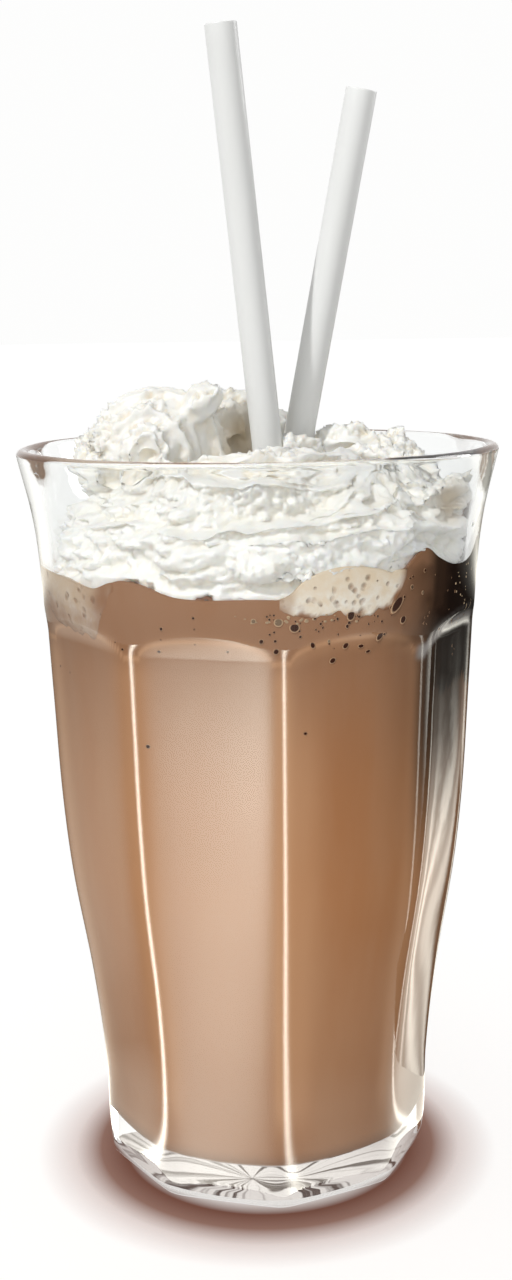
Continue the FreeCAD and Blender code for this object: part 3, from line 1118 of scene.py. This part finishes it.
def bubbleParts():
    # each bubble is a flat ball pressed against the wall: (width cos r cos t across, tall cos r sin t
    # up, sin r outward) with a lean sideways as it goes up; also its distance from the middle of
    # the ball, for the painted ring of light, and how pale it is
    s = bubbleShape
    rng = np.random.default_rng(s["seed"])
    angle = rng.uniform(-75, 78, s["scattered"])
    height = s["low"] + 14.5 * rng.power(2.2, s["scattered"])
    width = 0.26 + 0.55 * rng.power(0.5, s["scattered"])
    # most of them hang just under the froth
    under = rng.random(s["scattered"]) < 0.55
    angle = np.where(under, rng.normal(26, 17, s["scattered"]), angle)
    hanging = drinkEdge(angle) - 0.2 - rng.exponential(1.7, s["scattered"])
    height = np.where(under, hanging, height)
    tall = width * rng.uniform(0.85, 1.3, s["scattered"])
    none = np.zeros(s["scattered"])
    rows = np.column_stack([angle, height, width, tall, none, none])
    # pale specks over the dark patch, painted glints, and golden ones under the froth's left end
    count = s["specks"]
    wide = rng.uniform(0.2, 0.5, count)
    none = np.zeros(count)
    specks = [rng.uniform(60, 76, count), rng.uniform(113, 125, count), wide, wide, none, none + 1]
    golden = [rng.normal(6, 6, count), rng.normal(118.9, 0.5, count), wide * 1.3, wide, none, none + 0.5]
    rows = np.vstack([np.array(s["large"]), rows, np.column_stack(specks), np.column_stack(golden)])
    turn = np.radians(np.linspace(0, 360, 13)[:-1])
    rise = np.radians(np.linspace(-80, 80, 7))
    across, up = np.cos(rise)[:, None] * np.cos(turn), np.cos(rise)[:, None] * np.sin(turn)
    ball = np.stack(np.broadcast_arrays(across, up, np.sin(rise)[:, None]), -1)
    parts, edge, tone = [], [], []
    for angle, height, width, tall, lean, pale in rows:
        a = math.radians(angle)
        out = np.array([math.sin(a), -math.cos(a), 0])
        across = np.array([math.cos(a), math.sin(a), 0])
        reach = float(innerRadius(np.array([height]))[0]) + s["intoWall"]
        centre = out * (reach - 0.05) + np.array([0, 0, height])
        sideways = ball[..., :1] * width / 2 + ball[..., 1:2] * lean * tall / 2
        local = sideways * across + ball[..., 1:2] * np.array([0, 0, 1]) * tall / 2
        parts.append(closedGrid(centre + local + ball[..., 2:] * out * 0.12))
        edge.append(np.concatenate([np.hypot(ball[..., 0], ball[..., 1]).ravel(), [0, 0]]))
        tone.append(np.full(ball[..., 0].size + 2, pale))
    return joined(parts), np.concatenate(edge), np.concatenate(tone)


bubbleLook = {
    # from the middle out: dark, a painted ring of light, then brown
    "rim": [
        (0.66, (0.045, 0.012, 0.006, 1)),
        (0.9, (0.62, 0.40, 0.24, 1)),
        (1.0, (0.42, 0.20, 0.10, 1)),
    ],
    "pale": (0.80, 0.60, 0.38, 1),
}
bubbleMaterial, n = newMaterial("wallBubbles")
rim = n.ramp(n.painted("rim"), bubbleLook["rim"])
n.shader(
    Base_Color=n.mix(n.painted("pale"), rim, bubbleLook["pale"]),
    Roughness=0.3,
    Specular_IOR_Level=0.0,
)
bubbleBalls, rimValues, paleValues = bubbleParts()
bubbleMesh = meshFrom("wallBubbles", *bubbleBalls)
setValues(bubbleMesh, "rim", rimValues)
setValues(bubbleMesh, "pale", paleValues)
bubblePiece = pieceFrom("wallBubbles", bubbleMesh, bubbleMaterial, None)
print("bubbles done")


# the straws

strawShape = {
    "diameter": 6.0,
    "wall": 0.4,
    "foot": 8.6,
    # each straw's middle line: the point at the height of the lip, and the upper end
    "lines": {
        "straw_left": ((2.0, -4.0, glassHeight), (-5.6, -12.0, glassHeight + 77.0)),
        "straw_right": ((8.2, 4.2, glassHeight), (20.7, -2.0, glassHeight + 66.5)),
    },
}


def strawRings(at, end):
    # a closed tube: up the outside, over the rounded edge, down the bore, over the lower edge
    s = strawShape
    at, end = np.array(at), np.array(end)
    foot = at + (end - at) * (s["foot"] - at[2]) / (end[2] - at[2])
    along = end - foot
    length = np.linalg.norm(along)
    along /= length
    side = np.cross(along, (0, 1, 0))
    side /= np.linalg.norm(side)
    over = np.cross(along, side)
    a = np.linspace(0, 2 * math.pi, 49)[:-1]
    circle = np.cos(a)[:, None] * side + np.sin(a)[:, None] * over
    outer, half = s["diameter"] / 2, s["wall"] / 2
    profile = [(outer, h) for h in np.linspace(half, length - half, 60)]
    turn = np.radians(np.linspace(20, 160, 6))
    profile += [(outer - half + half * np.cos(t), length - half + half * np.sin(t)) for t in turn]
    profile += [(outer - 2 * half, h) for h in np.linspace(length - half, half, 40)]
    profile += [(outer - half - half * np.cos(t), half - half * np.sin(t)) for t in turn]
    return closedLoop(np.array([foot + along * h + circle * r for r, h in profile]))


strawLook = {
    "white": (0.87, 0.875, 0.86, 1),
    "dull": (0.80, 0.805, 0.785, 1),
    "mottle": {"Scale": 260.0, "Amount": 0.5},
    "drawn": 0.12,
    "roughness": {"To_Min": 0.36, "To_Max": 0.5},
}
strawMaterial, n = newMaterial("whiteStraw")
drawn = n.add("Mapping", Vector=n.place(), Scale=(1.0, 1.0, strawLook["drawn"])).outputs[0]
body = n.group(
    mottleGroup, Vector=drawn, Colour=strawLook["white"], Other=strawLook["dull"], **strawLook["mottle"]
)
lines = n.add("TexNoise", Vector=drawn, Scale=1200.0, Detail=2.0)
n.shader(
    Base_Color=body.outputs["Colour"],
    Roughness=n.spread(body.outputs["Mask"], **strawLook["roughness"]),
    Normal=n.bump(lines.outputs["Fac"], 0.06, 0.0002),
)
strawPieces = []
for name, (at, end) in strawShape["lines"].items():
    called = name.replace("_l", "L").replace("_r", "R")
    strawMesh = meshFrom(called, *strawRings(at, end))
    strawPieces.append(pieceFrom(called, strawMesh, strawMaterial, name))
keyPieces = [glassPiece, creamPiece] + strawPieces
drinkPieces = [drinkPiece, frothPiece, bubblePiece]
print("straws done")


# floor, light and camera

studio = {
    "floorSize": 40.0,
    "floorTone": {"To_Min": 0.88, "To_Max": 0.9},
    "floorGlow": 0.71,
    "floorBounce": 0.36,
    # light on the floor by the distance from shadowAt, as a share of shadowReach, in metres
    "shadowAt": (0.0, -0.005, 0.0),
    "shadowReach": 0.07,
    "shadow": [
        (0.36, (0.75, 0.73, 0.71, 1)),
        (0.43, (0.16, 0.07, 0.05, 1)),
        (0.50, (0.26, 0.15, 0.12, 1)),
        (0.58, (0.74, 0.67, 0.65, 1)),
        (0.69, (1.0, 1.0, 0.995, 1)),
    ],
    "background": (0.985, 0.985, 0.98, 1),
    "ambient": 0.40,
}

floorMaterial, n = newMaterial("paleFloor")
place = n.place()
grain = n.add("TexNoise", Vector=place, Scale=60.0, Detail=3.0)
tone = n.spread(grain.outputs["Fac"], **studio["floorTone"])
away = n.add("VectorMath", {"operation": "DISTANCE"}, _0=place, _1=studio["shadowAt"])
reached = n.spread(away.outputs["Value"], From_Min=0.0, From_Max=studio["shadowReach"])
shadow = n.ramp(reached, studio["shadow"])
soft = n.add("LightPath").outputs["Is Diffuse Ray"]
n.shader(
    Base_Color=n.mix(1.0, tone, shadow, "MULTIPLY"),
    Roughness=1.0,
    Specular_IOR_Level=0.0,
    Emission_Color=shadow,
    Emission_Strength=n.spread(soft, To_Min=studio["floorGlow"], To_Max=studio["floorBounce"]),
)
half = studio["floorSize"] / 2 / mm
corners = np.array([(-half, -half, 0), (half, -half, 0), (half, half, 0), (-half, half, 0)])
floorMesh = meshFrom("paleFloor", corners, np.array([[0, 1, 2, 3]]), noTriangles)
floorMesh.materials.append(floorMaterial)
sceneObject("paleFloor", floorMesh)

# bounce cards are seen only in reflections: one lies on the floor and lights the facets and ridges,
# one lies round the shoulder and lights the band above them, one lays stripes on the right facet.
# lobes: angle, half width of it, distance, half width of it, strength
warm = np.array([1.0, 0.97, 0.86])
cards = {
    "floorCard": {
        "height": 0.4,
        "centre": (0.0, 0.0),
        "span": (-180.0, 180.0),
        "reach": [36.0, 52.0, 70.0, 90.0, 115.0, 150.0, 190.0, 240.0, 300.0, 370.0, 450.0, 600.0, 900.0],
        "base": 0.15,
        "lobes": [
            (-23.0, 13.0, 270.0, 180.0, 9.0),
            (-28.0, 20.0, 80.0, 90.0, 3.2),
            (-112.0, 18.0, 150.0, 300.0, 1.0),
            (14.0, 4.0, 200.0, 900.0, 15.0),
            (-58.0, 4.0, 200.0, 900.0, 17.0),
            (84.0, 2.5, 200.0, 900.0, 4.0),
            (113.0, 8.0, 420.0, 260.0, 1.8),
            (0.0, 900.0, 36.0, 22.0, 2.2),
            (95.0, 40.0, 75.0, 30.0, 1.2),
        ],
    },
    "bandCard": {
        "height": 113.5,
        "centre": (0.0, 0.0),
        "span": (-180.0, 180.0),
        "reach": [43.5, 50.0, 60.0, 75.0, 100.0, 150.0, 300.0, 600.0],
        "base": 0.3,
        "lobes": [
            (-20.0, 60.0, 100.0, 900.0, 0.45),
            (-120.0, 16.0, 100.0, 900.0, 1.0),
            (77.0, 29.0, 100.0, 900.0, -0.4),
            (128.0, 12.0, 100.0, 900.0, 1.2),
        ],
    },
    "stripeCard": {
        "height": 0.8,
        "centre": (-172.6, -236.4),
        "span": (128.0, 150.0),
        "reach": [335.0, 360.0, 390.0, 430.0, 480.0, 540.0, 620.0, 720.0, 900.0],
        "base": 0.05,
        "lobes": [
            (134.3, 0.4, 430.0, 230.0, 3.4),
            (136.2, 1.3, 430.0, 150.0, 1.5),
            (137.2, 0.3, 430.0, 140.0, 2.6),
            (138.0, 0.3, 430.0, 170.0, 3.2),
            (138.9, 0.5, 430.0, 150.0, 2.2),
            (141.0, 1.2, 665.0, 60.0, 3.6),
            (143.0, 1.0, 430.0, 170.0, 2.0),
        ],
    },
}
cardMaterial, n = newMaterial("bounceCard")
n.tree.nodes.remove(n.tree.nodes["Principled BSDF"])
glow = n.add("Attribute", {"attribute_name": "glow"})
shine = n.add("Emission", Color=glow.outputs["Color"], Strength=1.0)
n.join(shine.outputs[0], n.tree.nodes["Material Output"].inputs["Surface"])


def bounceCard(name, card):
    # a flat ring or fan; its light is the base plus, for each lobe,
    # strength exp(-(angle off / half width)^2 - (distance off / half width)^2)
    first, last = card["span"]
    a = np.linspace(first, last, 361)
    r = np.array(card["reach"])
    ring = polar(a[None, :], r[:, None], card["height"]) + np.array([*card["centre"], 0])
    quads = gridQuads(len(r), len(a), False)[:, ::-1]
    mesh = meshFrom(name, ring.reshape(-1, 3), quads, noTriangles)
    light = np.full((len(r), len(a)), card["base"])
    for centre, width, distance, spread, strength in card["lobes"]:
        offAngle = ((a - centre + 180) % 360 - 180) / width
        offDistance = (r - distance) / spread
        light = light + strength * np.exp(-(offAngle[None, :] ** 2) - (offDistance**2)[:, None])
    light = (np.maximum(light, 0.02)[..., None] * warm).reshape(-1, 3)
    light = np.column_stack([light, np.ones(len(light))]).astype(np.float32)
    colours = mesh.attributes.new("glow", "FLOAT_COLOR", "POINT")
    colours.data.foreach_set("color", light.ravel())
    mesh.materials.append(cardMaterial)
    piece = sceneObject(name, mesh)
    piece.visible_camera = False
    piece.visible_diffuse = False
    piece.visible_transmission = False
    piece.visible_shadow = False
    piece.visible_volume_scatter = False


for name, card in cards.items():
    bounceCard(name, card)


def directionTo(azimuth, height):
    # (sin a cos h, -cos a cos h, sin h)
    a, h = math.radians(azimuth), math.radians(height)
    return np.array([math.sin(a) * math.cos(h), -math.cos(a) * math.cos(h), math.sin(h)])


def lookAlong(item, direction):
    item.rotation_euler = Vector(direction).to_track_quat("-Z", "Y").to_euler()


# the hard key falls on the cream, the straws and the glass, a rounder one on the drink behind the glass;
# each: azimuth, height, strength, angle across, the pieces it lights
suns = {
    "keySun": (-48.0, 46.0, 1.85, 2.0, keyPieces),
    "fillSun": (16.0, 24.0, 0.55, 50.0, keyPieces),
    "creamSun": (-10.0, 10.0, 0.6, 60.0, [creamPiece]),
    "drinkSun": (-13.0, 30.0, 1.55, 25.0, drinkPieces),
}
for name, (azimuth, height, strength, angle, lit) in suns.items():
    sun = sceneObject(name, bpy.data.lights.new(name, "SUN"))
    sun.data.energy = strength
    sun.data.angle = math.radians(angle)
    lookAlong(sun, -directionTo(azimuth, height))
    receivers = bpy.data.collections.new(name + "Lights")
    for piece in lit:
        receivers.objects.link(piece)
    sun.light_linking.receiver_collection = receivers

panels = [
    # azimuth, height angle, distance, width, tall, watts
    (-35.0, 50.0, 0.9, 0.5, 0.5, 4.0),
    (120.0, 25.0, 0.9, 0.25, 0.6, 3.0),
]
for azimuth, height, distance, width, tall, watts in panels:
    panel = sceneObject("panel", bpy.data.lights.new("panel", "AREA"))
    panel.data.shape = "RECTANGLE"
    panel.data.size, panel.data.size_y = width, tall
    panel.data.energy = watts
    toward = directionTo(azimuth, height)
    panel.location = toward * distance + np.array([0, 0, 0.1])
    panel.visible_diffuse = False
    lookAlong(panel, -toward)

world = bpy.data.worlds.new("studioWorld")
bpy.context.scene.world = world
world.use_nodes = True
n = Nodes(world.node_tree)
background = n.tree.nodes["Background"]
split = n.add("SeparateXYZ", Vector=n.add("TexCoord").outputs["Generated"])
# darker to the sides, white behind and above
sideways = n.calc("ABSOLUTE", split.outputs[0])
side = n.spread(sideways, From_Min=0.45, From_Max=0.95, To_Min=1.0, To_Max=0.6)
up = n.spread(split.outputs[2], From_Min=0.15, From_Max=0.6)
level = n.between(up, side, 1.0)
# the soft light is weaker from the right
fromRight = n.spread(split.outputs[0], From_Min=-0.2, From_Max=0.8, To_Min=1.0, To_Max=0.45)
soft = n.calc("MULTIPLY", n.calc("MULTIPLY", level, fromRight), studio["ambient"])
paths = n.add("LightPath")
n.join(n.between(paths.outputs["Is Diffuse Ray"], level, soft), background.inputs["Strength"])
background.inputs["Color"].default_value = (1, 1, 1, 1)
plain = n.add("Background", Color=studio["background"], Strength=1.0)
seen = n.add("MixShader", _0=paths.outputs["Is Camera Ray"], _1=background.outputs[0], _2=plain.outputs[0])
n.join(seen.outputs[0], n.tree.nodes["World Output"].inputs["Surface"])

# the camera looks down on the glass from just over its rim, a little rolled; mm and degrees
view = {
    "place": (0.0, -315.8, 169.5),
    "down": 11.16,
    "turn": -0.14,
    "roll": -0.83,
    "sensor": 36.0,
    "lens": 44.508,
}
down, turned, roll = (math.radians(view[k]) for k in ("down", "turn", "roll"))
ahead = Vector((math.sin(turned) * math.cos(down), math.cos(turned) * math.cos(down), -math.sin(down)))
right = Vector((math.cos(turned), -math.sin(turned), 0))
upward = right.cross(ahead)
rightTurned = math.cos(roll) * right + math.sin(roll) * upward
upTurned = -math.sin(roll) * right + math.cos(roll) * upward
cameraData = bpy.data.cameras.new("camera")
cameraData.sensor_fit = "VERTICAL"
cameraData.sensor_height = view["sensor"]
cameraData.lens = view["lens"]
cameraData.clip_start = 0.01
camera = sceneObject("camera", cameraData)
pose = Matrix((rightTurned, upTurned, -ahead)).transposed().to_4x4()
pose.translation = Vector(view["place"]) * mm
camera.matrix_world = pose
bpy.context.scene.camera = camera
bpy.context.scene.view_settings.view_transform = "Standard"
# light passes many walls of glass
cycles = bpy.context.scene.cycles
cycles.max_bounces = 64
cycles.glossy_bounces = 48
cycles.transmission_bounces = 48
cycles.transparent_max_bounces = 16
print("stage done")
